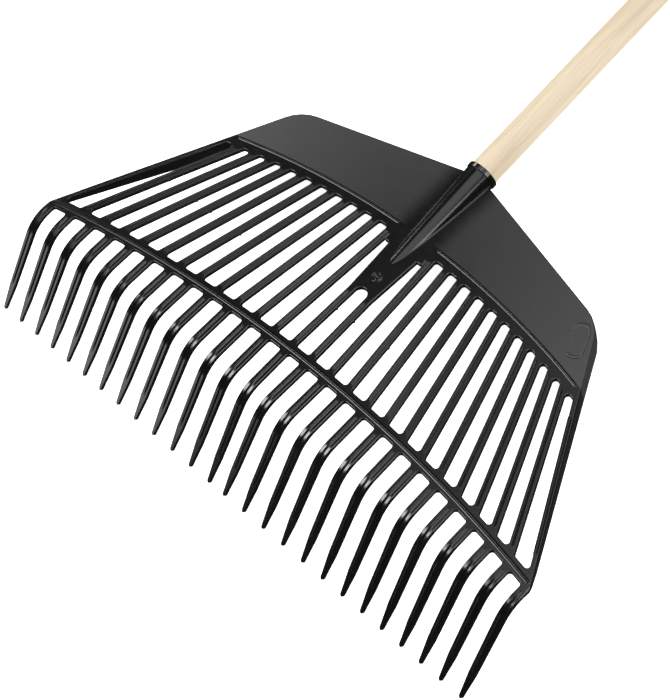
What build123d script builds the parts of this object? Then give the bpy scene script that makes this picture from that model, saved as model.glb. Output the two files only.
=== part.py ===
"""Leaf rake: a moulded plastic head with 26 spring tines on a round wooden handle.

The head is drawn in its own frame, the flat top face of the shoulder being z = 0, +Y towards
the handle and the tines curving down in front.  That frame is tipped so that the rake lies on
the ground as it does in use: on the points of its tines and on the far end of its handle.
"""
import os
from math import atan2, cos, hypot, pi, radians, sin, sqrt, tan

from build123d import *

# ---------------------------------------------------------------- driving dimensions (mm)
TINES = 26
TINE_PITCH = 24.5          # between neighbouring tines along the cross bar
SLAT_PITCH = 17.85         # between neighbouring slats where they leave the shoulder

# arcs across the head, each given by its height on the centre line and its radius
BAR_FRONT_Y = 31.3
BAR_FRONT_R = 1550.0
BAR_BACK_Y = 41.8
BAR_BACK_R = 1600.0
SLAT_TOP_Y = 182.0
SLAT_TOP_R = 890.0

# outline of the shoulder
APEX_Y = 271.5             # where the two back edges would meet on the centre line
CORNER_X = 186.7
CORNER_Y = 223.5
CORNER_R = 40.0
HEAD_HALF_WIDTH = 311.0
SIDE_FOOT_Y = 3.3          # where the side edge reaches the outermost tine

# wall thicknesses and widths
PLATE_T = 3.0
RIM_T = 3.0
RIM_DEPTH_BACK = 12.0      # depth of the turned-down rim along the back edges
RIM_DEPTH_CORNER = 24.0    # it deepens round the corners
RIM_DEPTH_AT_BAR = 7.5     # and runs out along the sides to this depth at the cross bar
BAR_T = 4.5
BAR_RIB_WIDTH = 1.8
BAR_RIB_HEIGHT = 0.9
SLAT_WIDTH = 7.4
SLAT_T = 4.5
RAIL_WIDTH = 6.0
BEAD_OFFSET = 9.0          # raised bead behind the slats
BEAD_WIDTH = 1.4
BEAD_HEIGHT = 0.6
BEAD_START_X = 24.5
BEAD_END_X = 214.0

# centre tongue, which carries the moulding gate
TONGUE_FOOT_Y = 115.0
TONGUE_TIP_X = 17.6        # half width where the slots beside it close
TONGUE_TIP_Y = 170.0
SLOT_END_R = 6.9           # round upper end of the centre slot
GATE_Y = 137.2
GATE_R = 4.6
GATE_DEPTH = 0.8

# tine: flat, then bent down round BEND_R, then a straight blade
TINE_WIDTH = 9.2
TINE_BLADE_WIDTH = 8.0
TINE_POINT_WIDTH = 4.4
TINE_T = 4.0
TINE_POINT_T = 2.6
ROOT_OVERRUN = 10.0        # a tine is drawn this far into the bar, then cut along its edge
BEND_R = 38.0
BEND_ANGLE = 44.0
TIP_Y = -90.6
TIP_Z = -67.4
POINT_LENGTH = 26.0        # tapered end of the blade
TINE_DRIFT = 2.75          # the tines spread and close a little towards their points
DRIFT_START_X = 61.0
DRIFT_HALF_WAVE = 196.0
CUT_REACH = 250.0          # more than any tine reaches from the plane it is cut by

# raised stiffening ridge along the middle of every tine and slat
RIDGE_WIDTH = 2.0
RIDGE_HEIGHT = 1.1
RIDGE_GAP = 3.0            # it stops this far short of the cross bar and of the shoulder
RIDGE_SHARE = 0.6          # and this far down the blade of a tine
RIDGE_RUNOUT = 6.0

# socket and handle
HANDLE_R = 14.0
HANDLE_LENGTH = 1500.0
HANDLE_RISE = 3.85         # degrees, the handle rises from the plane of the shoulder
HANDLE_END_ROUND = 6.0
INSERT_LENGTH = 105.0      # tapered end of the handle inside the socket
INSERT_END_R = 8.3
MOUTH_Y = 276.2
MOUTH_Z = -1.1
COLLAR_R = 15.8
COLLAR_LENGTH = 5.0
SOCKET_MOUTH_R = 15.1
SOCKET_NOSE_R = 9.4
SOCKET_LENGTH = 121.0
SOCKET_NOSE_ROUND = 4.0

# fixing screw under the socket
SCREW_S = 32.0             # back from the mouth along the axis
SCREW_SHANK_R = 2.1
SCREW_LENGTH = 15.0
SCREW_HEAD_R = 4.2
SCREW_HEAD_T = 2.4
SCREW_SPOT_DEPTH = 0.3     # flat sunk into the cone under the screw's head
SCREW_SLOT_WIDTH = 1.1
SCREW_SLOT_DEPTH = 1.0

# ---------------------------------------------------------------- resting attitude of the head
rise = radians(HANDLE_RISE)
bend = radians(BEND_ANGLE)
point_low_y = TIP_Y + TINE_POINT_T * sin(bend)
point_low_z = TIP_Z - TINE_POINT_T * cos(bend)
free_length = HANDLE_LENGTH - INSERT_LENGTH
end_y = MOUTH_Y + free_length * cos(rise)
end_z = MOUTH_Z + free_length * sin(rise)
ground_y = end_y - HANDLE_END_ROUND * cos(rise) + HANDLE_R * sin(rise)
ground_z = end_z - HANDLE_END_ROUND * sin(rise) - HANDLE_R * cos(rise)
tilt = atan2(ground_z - point_low_z, ground_y - point_low_y)
lowest = point_low_z * cos(tilt) - point_low_y * sin(tilt)
front = TIP_Y * cos(tilt) + TIP_Z * sin(tilt)
end_face_r = HANDLE_R - HANDLE_END_ROUND
back = end_y * cos(tilt) + end_z * sin(tilt) + end_face_r * sin(tilt - rise)
head = Plane(
    origin=(0, -(front + back) / 2, -lowest),
    x_dir=(1, 0, 0),
    z_dir=(0, sin(tilt), cos(tilt)),
)
mouth = Plane(
    origin=head.from_local_coords((0, MOUTH_Y, MOUTH_Z)),
    x_dir=(0, cos(tilt - rise), -sin(tilt - rise)),
    z_dir=(1, 0, 0),
)
handle_axis = Axis(mouth.origin, mouth.x_dir)

os.makedirs("parts", exist_ok=True)


def save(builder, name):
    """Label the finished piece and write its STEP file."""
    builder.part.label = name
    export_step(builder.part, f"parts/{name}.step")


def arc_y(x, top_y, radius):
    """Height of an arc across the head at distance x from the centre line."""
    return top_y - radius + sqrt(radius**2 - x**2)


def side_x(y):
    """Half width of the head along its straight side edge."""
    share = (y - SIDE_FOOT_Y) / (CORNER_Y - SIDE_FOOT_Y)
    return HEAD_HALF_WIDTH - (HEAD_HALF_WIDTH - CORNER_X) * share


def tine_x(index):
    return (index - (TINES - 1) / 2) * TINE_PITCH


def slat_ends(index):
    """Centre line of a slat, from under the bar to beyond the top of the slats."""
    foot_x = tine_x(index)
    top_x = (index - (TINES - 1) / 2) * SLAT_PITCH
    foot = (foot_x, arc_y(foot_x, BAR_FRONT_Y, BAR_FRONT_R))
    top = (top_x, arc_y(top_x, SLAT_TOP_Y, SLAT_TOP_R))
    return foot, top


def slat_edge_x(index, y):
    """Where the edge of a slat nearer the centre line lies at height y, on the +X side."""
    foot, top = slat_ends(index)
    slope = (top[0] - foot[0]) / (top[1] - foot[1])
    return foot[0] + slope * (y - foot[1]) - SLAT_WIDTH / 2 * hypot(1, slope)


def arc_disc(top_y, radius, mode):
    """Disc whose upper edge is one of the arcs across the head, in the open sketch."""
    with Locations((0, top_y - radius)):
        Circle(radius, mode=mode)


def strip(start, end, width, overrun=10.0):
    """Straight strip of the given width along a centre line, in the open sketch."""
    length = hypot(end[0] - start[0], end[1] - start[1])
    ux = (end[0] - start[0]) / length
    uy = (end[1] - start[1]) / length
    half = width / 2
    x0 = start[0] - ux * overrun
    y0 = start[1] - uy * overrun
    x1 = end[0] + ux * overrun
    y1 = end[1] + uy * overrun
    Polygon(
        (x0 - uy * half, y0 + ux * half),
        (x1 - uy * half, y1 + ux * half),
        (x1 + uy * half, y1 - ux * half),
        (x0 + uy * half, y0 - ux * half),
        align=None,
    )


# whole outline of the shoulder, reaching down past the tops of the slats
outline_foot_y = SLAT_TOP_Y - 100.0
with BuildSketch() as outline:
    with BuildLine():
        Polyline(
            (-side_x(outline_foot_y), outline_foot_y),
            (-CORNER_X, CORNER_Y),
            (0, APEX_Y),
            (CORNER_X, CORNER_Y),
            (side_x(outline_foot_y), outline_foot_y),
            close=True,
        )
    make_face()
    fillet(outline.vertices().sort_by(Axis.Y)[2:4], CORNER_R)

with BuildSketch() as outline_inside_rim:
    add(outline.sketch)
    offset(amount=-RIM_T, kind=Kind.INTERSECTION)

# space over the lower edge of the rim, as a prism across the head
side_angle = atan2(CORNER_Y - SIDE_FOOT_Y, CORNER_X - HEAD_HALF_WIDTH)
back_angle = atan2(APEX_Y - CORNER_Y, -CORNER_X)
corner_tangent = CORNER_R * tan((back_angle - side_angle) / 2)
corner_start_y = CORNER_Y - corner_tangent * sin(side_angle)
corner_end_y = CORNER_Y + corner_tangent * sin(back_angle)
across_head = Plane(origin=head.origin, x_dir=head.y_dir, z_dir=head.x_dir)
with BuildPart() as above_rim_edge:
    with BuildSketch(across_head):
        Polygon(
            (-APEX_Y, RIM_DEPTH_CORNER),
            (-APEX_Y, -RIM_DEPTH_AT_BAR),
            (SIDE_FOOT_Y, -RIM_DEPTH_AT_BAR),
            (corner_start_y, -RIM_DEPTH_CORNER),
            (corner_end_y, -RIM_DEPTH_BACK),
            (2 * APEX_Y, -RIM_DEPTH_BACK),
            (2 * APEX_Y, RIM_DEPTH_CORNER),
            align=None,
        )
    extrude(amount=2 * HEAD_HALF_WIDTH, both=True)


# ---------------------------------------------------------------- socket, as a solid of revolution
def cone_r(s):
    """Outer radius of the socket at s in front of the mouth."""
    return SOCKET_MOUTH_R + (SOCKET_NOSE_R - SOCKET_MOUTH_R) * s / SOCKET_LENGTH


def screw_plane(radius):
    """Plane square to the screw, at the given distance below the handle's axis."""
    down = mouth.x_dir.cross(mouth.z_dir)
    return Plane(
        origin=mouth.origin - mouth.x_dir * SCREW_S + down * radius,
        x_dir=mouth.x_dir,
        z_dir=down,
    )


screw_seat = cone_r(SCREW_S) - SCREW_SPOT_DEPTH

with BuildPart() as socket_form:
    with BuildSketch(mouth):
        with BuildLine():
            Polyline(
                (0, 0),
                (0, COLLAR_R),
                (-COLLAR_LENGTH, COLLAR_R),
                (-COLLAR_LENGTH, cone_r(COLLAR_LENGTH)),
                (-SOCKET_LENGTH, SOCKET_NOSE_R),
                (-SOCKET_LENGTH - SOCKET_NOSE_ROUND, SOCKET_NOSE_R - SOCKET_NOSE_ROUND),
                (-SOCKET_LENGTH - SOCKET_NOSE_ROUND, 0),
                close=True,
            )
        make_face()
    revolve(axis=handle_axis)

with BuildPart() as handle_socket:
    add(socket_form.part)
    with BuildSketch(mouth):
        Polygon(
            (0, 0),
            (0, HANDLE_R),
            (-INSERT_LENGTH, INSERT_END_R),
            (-INSERT_LENGTH, 0),
            align=None,
        )
    revolve(axis=handle_axis, mode=Mode.SUBTRACT)
    with BuildSketch(screw_plane(0)):
        Circle(SCREW_SHANK_R)
    extrude(amount=COLLAR_R * 2, mode=Mode.SUBTRACT)
    with BuildSketch(screw_plane(screw_seat)):
        Circle(SCREW_HEAD_R)
    extrude(amount=COLLAR_R, mode=Mode.SUBTRACT)
save(handle_socket, "handle_socket")

# ---------------------------------------------------------------- handle
with BuildPart() as handle:
    with BuildSketch(mouth):
        with BuildLine():
            Polyline(
                (free_length, 0),
                (-INSERT_LENGTH, 0),
                (-INSERT_LENGTH, INSERT_END_R),
                (0, HANDLE_R),
                (free_length - HANDLE_END_ROUND, HANDLE_R),
            )
            RadiusArc(
                (free_length - HANDLE_END_ROUND, HANDLE_R),
                (free_length, HANDLE_R - HANDLE_END_ROUND),
                HANDLE_END_ROUND,
            )
            Line((free_length, HANDLE_R - HANDLE_END_ROUND), (free_length, 0))
        make_face()
    revolve(axis=handle_axis)
    with BuildSketch(screw_plane(0)):
        Circle(SCREW_SHANK_R)
    extrude(amount=COLLAR_R * 2, mode=Mode.SUBTRACT)
save(handle, "handle")

# ---------------------------------------------------------------- fixing screw
with BuildPart() as fixing_screw:
    with BuildSketch(screw_plane(screw_seat)):
        Circle(SCREW_SHANK_R)
    extrude(amount=-(SCREW_LENGTH - SCREW_HEAD_T))
    with BuildSketch(screw_plane(screw_seat)):
        Circle(SCREW_HEAD_R)
    extrude(amount=SCREW_HEAD_T)
    with BuildSketch(screw_plane(screw_seat + SCREW_HEAD_T)):
        Rectangle(SCREW_HEAD_R * 3, SCREW_SLOT_WIDTH)
    extrude(amount=-SCREW_SLOT_DEPTH, mode=Mode.SUBTRACT)
save(fixing_screw, "fixing_screw")

# ---------------------------------------------------------------- shoulder, in two halves
bead_r = SLAT_TOP_R + BEAD_OFFSET
bead_y = SLAT_TOP_Y + BEAD_OFFSET
for side, sign in (("left", -1), ("right", 1)):
    with BuildPart() as shoulder:
        with BuildSketch(head):
            add(outline.sketch)
            arc_disc(SLAT_TOP_Y, SLAT_TOP_R, Mode.SUBTRACT)
            with Locations((sign * HEAD_HALF_WIDTH / 2, APEX_Y / 2)):
                Rectangle(HEAD_HALF_WIDTH, APEX_Y * 2, mode=Mode.INTERSECT)
        extrude(amount=-PLATE_T)
        with BuildSketch(head.offset(-PLATE_T)):
            add(outline.sketch)
            add(outline_inside_rim.sketch, mode=Mode.SUBTRACT)
            arc_disc(SLAT_TOP_Y, SLAT_TOP_R, Mode.SUBTRACT)
            with Locations((sign * HEAD_HALF_WIDTH / 2, APEX_Y / 2)):
                Rectangle(HEAD_HALF_WIDTH, APEX_Y * 2, mode=Mode.INTERSECT)
        extrude(amount=-(RIM_DEPTH_CORNER - PLATE_T))
        add(above_rim_edge.part, mode=Mode.INTERSECT)
        with BuildSketch(head):
            arc_disc(bead_y + BEAD_WIDTH / 2, bead_r + BEAD_WIDTH / 2, Mode.ADD)
            arc_disc(bead_y - BEAD_WIDTH / 2, bead_r - BEAD_WIDTH / 2, Mode.SUBTRACT)
            with Locations((sign * (BEAD_START_X + BEAD_END_X) / 2, SLAT_TOP_Y)):
                Rectangle(BEAD_END_X - BEAD_START_X, SLAT_TOP_Y, mode=Mode.INTERSECT)
        extrude(amount=BEAD_HEIGHT)
        add(socket_form.part, mode=Mode.SUBTRACT)
    save(shoulder, f"shoulder_{side}")

# ---------------------------------------------------------------- centre tongue
beside = TINES // 2 + 1      # the slat beyond the slot next to the tongue
foot_half_width = slat_edge_x(TINES // 2, TONGUE_FOOT_Y) + SLAT_WIDTH
over_top_y = SLAT_TOP_Y + 2
with BuildPart() as centre_tongue:
    with BuildSketch(head):
        Polygon(
            (-foot_half_width, TONGUE_FOOT_Y),
            (foot_half_width, TONGUE_FOOT_Y),
            (TONGUE_TIP_X, TONGUE_TIP_Y),
            (slat_edge_x(beside, TONGUE_TIP_Y), TONGUE_TIP_Y),
            (slat_edge_x(beside, over_top_y), over_top_y),
            (-slat_edge_x(beside, over_top_y), over_top_y),
            (-slat_edge_x(beside, TONGUE_TIP_Y), TONGUE_TIP_Y),
            (-TONGUE_TIP_X, TONGUE_TIP_Y),
            align=None,
        )
        arc_disc(SLAT_TOP_Y, SLAT_TOP_R, Mode.INTERSECT)
        with Locations((0, TONGUE_FOOT_Y)):
            Circle(SLOT_END_R, mode=Mode.SUBTRACT)
    extrude(amount=-PLATE_T)
    with BuildSketch(head):
        with Locations((0, GATE_Y)):
            Circle(GATE_R)
    extrude(amount=-GATE_DEPTH, mode=Mode.SUBTRACT)
    add(socket_form.part, mode=Mode.SUBTRACT)
save(centre_tongue, "centre_tongue")

# ---------------------------------------------------------------- cross bar
rib_y = (BAR_FRONT_Y + BAR_BACK_Y) / 2
rib_r = (BAR_FRONT_R + BAR_BACK_R) / 2
with BuildPart() as cross_bar:
    with BuildSketch(head):
        arc_disc(BAR_BACK_Y, BAR_BACK_R, Mode.ADD)
        arc_disc(BAR_FRONT_Y, BAR_FRONT_R, Mode.SUBTRACT)
        Polygon(
            (-HEAD_HALF_WIDTH, -BAR_BACK_Y),
            (HEAD_HALF_WIDTH, -BAR_BACK_Y),
            (HEAD_HALF_WIDTH, SIDE_FOOT_Y),
            (side_x(BAR_BACK_Y), BAR_BACK_Y),
            (-side_x(BAR_BACK_Y), BAR_BACK_Y),
            (-HEAD_HALF_WIDTH, SIDE_FOOT_Y),
            align=None,
            mode=Mode.INTERSECT,
        )
    extrude(amount=-BAR_T)
    with BuildSketch(head):
        arc_disc(rib_y + BAR_RIB_WIDTH / 2, rib_r + BAR_RIB_WIDTH / 2, Mode.ADD)
        arc_disc(rib_y - BAR_RIB_WIDTH / 2, rib_r - BAR_RIB_WIDTH / 2, Mode.SUBTRACT)
        Rectangle(2 * HEAD_HALF_WIDTH - 2 * RAIL_WIDTH, 4 * rib_y, mode=Mode.INTERSECT)
    extrude(amount=BAR_RIB_HEIGHT)
save(cross_bar, "cross_bar")

# ---------------------------------------------------------------- slats
for index in range(1, TINES - 1):
    with BuildPart() as slat:
        with BuildSketch(head):
            strip(*slat_ends(index), SLAT_WIDTH)
            if index in (TINES // 2 - 1, TINES // 2):
                with Locations((0, TONGUE_FOOT_Y / 2)):
                    Rectangle(4 * TINE_PITCH, TONGUE_FOOT_Y, mode=Mode.INTERSECT)
            arc_disc(SLAT_TOP_Y, SLAT_TOP_R, Mode.INTERSECT)
            arc_disc(BAR_BACK_Y, BAR_BACK_R, Mode.SUBTRACT)
        extrude(amount=-SLAT_T)
        with BuildSketch(head):
            strip(*slat_ends(index), RIDGE_WIDTH)
            if index in (TINES // 2 - 1, TINES // 2):
                with Locations((0, TONGUE_FOOT_Y / 2)):
                    Rectangle(4 * TINE_PITCH, TONGUE_FOOT_Y, mode=Mode.INTERSECT)
            arc_disc(SLAT_TOP_Y - RIDGE_GAP, SLAT_TOP_R - RIDGE_GAP, Mode.INTERSECT)
            arc_disc(BAR_BACK_Y + RIDGE_GAP, BAR_BACK_R + RIDGE_GAP, Mode.SUBTRACT)
        extrude(amount=RIDGE_HEIGHT)
    save(slat, f"slat_{index + 1:02d}")

# ---------------------------------------------------------------- side rails with their rim
edge_length = hypot(CORNER_X - HEAD_HALF_WIDTH, CORNER_Y - SIDE_FOOT_Y)
for side, sign in (("left", -1), ("right", 1)):
    along = Vector(sign * (CORNER_X - HEAD_HALF_WIDTH), CORNER_Y - SIDE_FOOT_Y, 0) / edge_length
    wall = Plane(
        origin=head.from_local_coords((sign * HEAD_HALF_WIDTH, SIDE_FOOT_Y, 0)),
        x_dir=head.x_dir * along.X + head.y_dir * along.Y,
        z_dir=(head.x_dir * along.Y - head.y_dir * along.X) * sign,
    )
    down = -sign
    with BuildPart() as side_rail:
        with BuildSketch(head):
            Polygon(
                (sign * side_x(0), 0),
                (sign * side_x(SLAT_TOP_Y), SLAT_TOP_Y),
                (sign * (side_x(SLAT_TOP_Y) - RAIL_WIDTH), SLAT_TOP_Y),
                (sign * (side_x(0) - RAIL_WIDTH), 0),
                align=None,
            )
            arc_disc(SLAT_TOP_Y, SLAT_TOP_R, Mode.INTERSECT)
            arc_disc(BAR_BACK_Y, BAR_BACK_R, Mode.SUBTRACT)
        extrude(amount=-SLAT_T)
        with BuildSketch(wall):
            Polygon(
                (0, 0),
                (0, down * RIM_DEPTH_CORNER),
                (edge_length, down * RIM_DEPTH_CORNER),
                (edge_length, 0),
                align=None,
            )
        extrude(amount=-RIM_T)
        with BuildSketch(head):
            arc_disc(SLAT_TOP_Y, SLAT_TOP_R, Mode.ADD)
            arc_disc(BAR_BACK_Y, BAR_BACK_R, Mode.SUBTRACT)
        extrude(amount=-RIM_DEPTH_CORNER, mode=Mode.INTERSECT)
        add(above_rim_edge.part, mode=Mode.INTERSECT)
    save(side_rail, f"side_rail_{side}")

# ---------------------------------------------------------------- tines
bend_corner_y = TIP_Y - TIP_Z / tan(bend)
tangent_length = BEND_R * tan(bend / 2)
flat_end_y = bend_corner_y + tangent_length
blade_start_y = bend_corner_y - tangent_length * cos(bend)
blade_start_z = -tangent_length * sin(bend)
blade_length = hypot(TIP_Y - blade_start_y, TIP_Z - blade_start_z)
inner_r = BEND_R - TINE_T
inner_low_y = flat_end_y - inner_r * sin(bend)
inner_low_z = -BEND_R + inner_r * cos(bend)


def over_blade(distance, height):
    """Point over the blade's top face, that far from the end of the bend and that high."""
    return (
        blade_start_y - distance * cos(bend) - height * sin(bend),
        blade_start_z - distance * sin(bend) + height * cos(bend),
    )


for index in range(TINES):
    x = tine_x(index)
    drift = TINE_DRIFT * sin(pi * (abs(x) - DRIFT_START_X) / DRIFT_HALF_WAVE)
    root_y = arc_y(abs(x), BAR_FRONT_Y, BAR_FRONT_R)
    swing = atan2(drift if x > 0 else -drift, root_y - TIP_Y)
    across = head.x_dir * cos(swing) + head.y_dir * sin(swing)
    along = head.y_dir * cos(swing) - head.x_dir * sin(swing)
    side = Plane(
        origin=head.from_local_coords((x, root_y, 0)) - along * root_y,
        x_dir=along,
        z_dir=across,
    )
    blade = Plane(
        origin=side.from_local_coords((TIP_Y, TIP_Z, 0)),
        x_dir=across,
        z_dir=side.x_dir * -sin(bend) + side.y_dir * cos(bend),
    )
    with BuildPart() as tine:
        with BuildSketch(side):
            with BuildLine():
                Line((root_y + ROOT_OVERRUN, 0), (flat_end_y, 0))
                RadiusArc((flat_end_y, 0), over_blade(0, 0), -BEND_R)
                Polyline(
                    over_blade(0, 0),
                    (TIP_Y, TIP_Z),
                    (point_low_y, point_low_z),
                    (inner_low_y, inner_low_z),
                )
                RadiusArc((inner_low_y, inner_low_z), (flat_end_y, -TINE_T), inner_r)
                Polyline(
                    (flat_end_y, -TINE_T),
                    (root_y + ROOT_OVERRUN, -TINE_T),
                    (root_y + ROOT_OVERRUN, 0),
                )
            make_face()
        extrude(amount=TINE_WIDTH / 2, both=True)
        with BuildSketch(blade):
            half = TINE_POINT_WIDTH / 2
            with BuildLine():
                Polyline(
                    (-half, half),
                    (-TINE_BLADE_WIDTH / 2, POINT_LENGTH),
                    (-TINE_WIDTH / 2, blade_length),
                    (-TINE_WIDTH / 2, blade_length * 3),
                    (TINE_WIDTH / 2, blade_length * 3),
                    (TINE_WIDTH / 2, blade_length),
                    (TINE_BLADE_WIDTH / 2, POINT_LENGTH),
                    (half, half),
                )
                ThreePointArc((half, half), (0, 0), (-half, half))
            make_face()
        extrude(amount=CUT_REACH, both=True, mode=Mode.INTERSECT)
        with BuildSketch(head):
            arc_disc(BAR_FRONT_Y, BAR_FRONT_R, Mode.ADD)
        extrude(amount=CUT_REACH, both=True, mode=Mode.INTERSECT)
        with BuildSketch(side):
            with BuildLine():
                Line((root_y - RIDGE_GAP, RIDGE_HEIGHT), (flat_end_y, RIDGE_HEIGHT))
                RadiusArc(
                    (flat_end_y, RIDGE_HEIGHT),
                    over_blade(0, RIDGE_HEIGHT),
                    -BEND_R - RIDGE_HEIGHT,
                )
                Polyline(
                    over_blade(0, RIDGE_HEIGHT),
                    over_blade(RIDGE_SHARE * blade_length, RIDGE_HEIGHT),
                    over_blade(RIDGE_SHARE * blade_length + RIDGE_RUNOUT, 0),
                    over_blade(0, 0),
                )
                RadiusArc(over_blade(0, 0), (flat_end_y, 0), BEND_R)
                Polyline(
                    (flat_end_y, 0),
                    (root_y - RIDGE_GAP, 0),
                    (root_y - RIDGE_GAP, RIDGE_HEIGHT),
                )
            make_face()
        extrude(amount=RIDGE_WIDTH / 2, both=True)
    save(tine, f"tine_{index + 1:02d}")
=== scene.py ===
"""Looks of the leaf rake: a black moulded head on a pale wooden handle, round the CAD frame.

The head is drawn in its own frame, in millimetres: the flat top face of the shoulder is z = 0,
+Y runs towards the handle and the tines curve down in front.  HEAD carries that frame to the
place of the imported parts, in metres.
"""
from collections import namedtuple
from math import atan2, ceil, cos, pi, radians, sin, sqrt, tan

import bpy
from mathutils import Matrix, Vector
from mathutils.geometry import delaunay_2d_cdt


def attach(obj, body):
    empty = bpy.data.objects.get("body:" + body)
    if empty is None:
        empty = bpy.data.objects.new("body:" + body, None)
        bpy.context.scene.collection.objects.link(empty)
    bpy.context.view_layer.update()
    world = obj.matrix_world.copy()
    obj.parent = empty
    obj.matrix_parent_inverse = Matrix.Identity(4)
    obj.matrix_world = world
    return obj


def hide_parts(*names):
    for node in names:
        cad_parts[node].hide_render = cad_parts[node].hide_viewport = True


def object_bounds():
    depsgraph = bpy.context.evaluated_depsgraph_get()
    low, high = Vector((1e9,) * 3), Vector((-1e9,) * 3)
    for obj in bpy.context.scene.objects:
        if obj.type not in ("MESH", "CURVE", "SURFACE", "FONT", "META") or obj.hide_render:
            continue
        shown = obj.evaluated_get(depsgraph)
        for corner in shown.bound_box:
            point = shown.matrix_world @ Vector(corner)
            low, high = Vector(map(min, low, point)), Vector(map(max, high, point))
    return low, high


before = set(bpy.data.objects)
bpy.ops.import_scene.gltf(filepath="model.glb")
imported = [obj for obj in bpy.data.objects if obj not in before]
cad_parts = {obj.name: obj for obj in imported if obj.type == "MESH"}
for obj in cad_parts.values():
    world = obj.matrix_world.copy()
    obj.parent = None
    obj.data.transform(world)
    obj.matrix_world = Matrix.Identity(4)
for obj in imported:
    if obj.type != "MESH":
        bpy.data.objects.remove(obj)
cad_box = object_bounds()

# ---------------------------------------------------------------- sizes (mm, head frame)
TINES = 26
TINE_PITCH = 24.5
SLAT_PITCH = 17.85

# arcs across the head: height on the centre line and radius
BAR_FRONT = (31.3, 1550.0)
BAR_RIB = (36.5, 1575.0)
BAR_BACK = (41.8, 1600.0)
SLAT_TOPS = (182.0, 890.0)
BEAD = (191.0, 899.0)

APEX_Y = 271.5
APEX_R = 20.0
APEX_BAND = 8.0            # points of the outline this near the apex lie inside the socket
CORNER = (186.7, 223.5)
CORNER_R = 40.0
SIDE_FOOT = (311.0, 3.3)
SIDE_FOOT_R = 12.0
PLATE_T = 3.0
SLAT_T = 4.5
SLAT_WIDTH = 7.4
RAIL_WIDTH = 6.0
SLOT_R = 2.8               # rounded corners of the slots between the slats
GAP_R = 3.0                # and of the gaps between the tines
EDGE_R = 1.1               # rounding along every upper edge
PLATE_EDGE_R = 1.3         # softer rounding round the shoulder
LOWER_EDGE_R = 0.4
FOOT_EDGE_R = EDGE_R * 1.6  # where the sides meet the outermost tines

RIM_T = 4.0
RIM_OUTER_R = 0.9          # roundings of its lower edge
RIM_INNER_R = 0.6
RIM_DEPTH_BACK = 12.0
RIM_DEPTH_CORNER = 24.0
RIM_DEPTH_AT_BAR = 7.5
RIM_RUN_OUT = 14.0         # at the foot it rises to the tine's underside over this length
RIM_LEAD_IN = 0.1          # and ends this far above it

TONGUE_TIP = (17.6, 170.0)
TONGUE_FOOT_Y = 115.0
TONGUE_TIP_R = 1.2
TONGUE_FOOT_R = 18.0
TONGUE_SLOT_R = 1.6
CENTRE_SLOT_END_R = 6.6
GATE_Y = 137.2             # round gate mark on the tongue
GATE_R = 4.6
GATE_DEPTH = 0.8
NUB_Y = 92.0               # ejector marks stand out on this line, from these slats
NUB_SLATS = (1, 3, 4, 6, 12, 13, 15)

TINE_WIDTH = 9.2
TINE_BLADE_WIDTH = 8.0
TINE_POINT_R = 2.2
TINE_T = 4.0
TINE_POINT_T = 2.6
TINE_STUB = 4.9            # each tine piece starts this far in front of the bar
SLAT_STUB = 4.6            # and each slat piece this far from the bar and the shoulder
BEND_R = 38.0
BEND = radians(44.0)
TIP_Y = -90.6
TIP_Z = -67.4
POINT_LENGTH = 26.0
TINE_DRIFT = 2.75
DRIFT_START_X = 61.0
DRIFT_HALF_WAVE = 196.0

RIDGE_HALF_WIDTH = 1.3
RIDGE_HEIGHT = 1.1
RIDGE_GAP = 3.0
RIDGE_SHARE = 0.6          # share of a tine's blade that the ridge runs down
RIDGE_PAST = 6.0           # and how far past that it ends
RIDGE_RAMP = 1.6
RIDGE_RUN_OUT = 9.0

BAR_RIB_SIZE = (2.2, 1.0)  # half width and height
BAR_RIB_CLEAR = 4.0        # the rib stops this far inside the ends of the bar
BEAD_SIZE = (1.9, 0.9)
BEAD_RUN = (24.5, 214.0)   # from the centre line outwards, on both sides
RAIL_RIDGES = ((2.2, 0.9, 0.9), (4.7, 0.7, 0.6))  # distance from the edge, half width, height
RAIL_RIDGE_START = 30.0
RAIL_RIDGE_CLEAR = 12.0    # they stop this far in front of the slots' upper ends

HANDLE_R = 14.0
HANDLE_LENGTH = 1500.0
HANDLE_RISE = radians(3.85)
HANDLE_END_ROUND = 6.0
INSERT_LENGTH = 105.0
INSERT_END_R = 8.3
MOUTH_Y = 276.2
MOUTH_Z = -1.1
COLLAR_R = 15.8
COLLAR_LENGTH = 5.0
SOCKET_MOUTH_R = 15.1
SOCKET_NOSE_R = 9.4
SOCKET_LENGTH = 121.0
SOCKET_NOSE_ROUND = 4.0
SOCKET_FILLET = 2.0        # where the socket meets the plate
SOCKET_FILLET_RUN = (7.0, 9.0)  # the fillet starts this far from the mouth and grows over this

PAD = ((185.5, 199.5), radians(-64.7))  # centre and turn of the blank pad
PAD_HALF = (18.0, 8.2)

# ---------------------------------------------------------------- placing the head
HEAD_TILT = radians(4.8118)
low_y = TIP_Y + TINE_POINT_T * sin(BEND)
low_z = TIP_Z - TINE_POINT_T * cos(BEND)
tip_front = (TIP_Y * cos(HEAD_TILT) + TIP_Z * sin(HEAD_TILT)) / 1000
tip_bottom = (low_z * cos(HEAD_TILT) - low_y * sin(HEAD_TILT)) / 1000
TURN = Matrix.Rotation(-HEAD_TILT, 3, "X")
HEAD = (
    Matrix.Translation((0, cad_box[0].y - tip_front, cad_box[0].z - tip_bottom))
    @ TURN.to_4x4()
    @ Matrix.Scale(0.001, 4)
)
UP = Vector((0, 0, 1))


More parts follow.
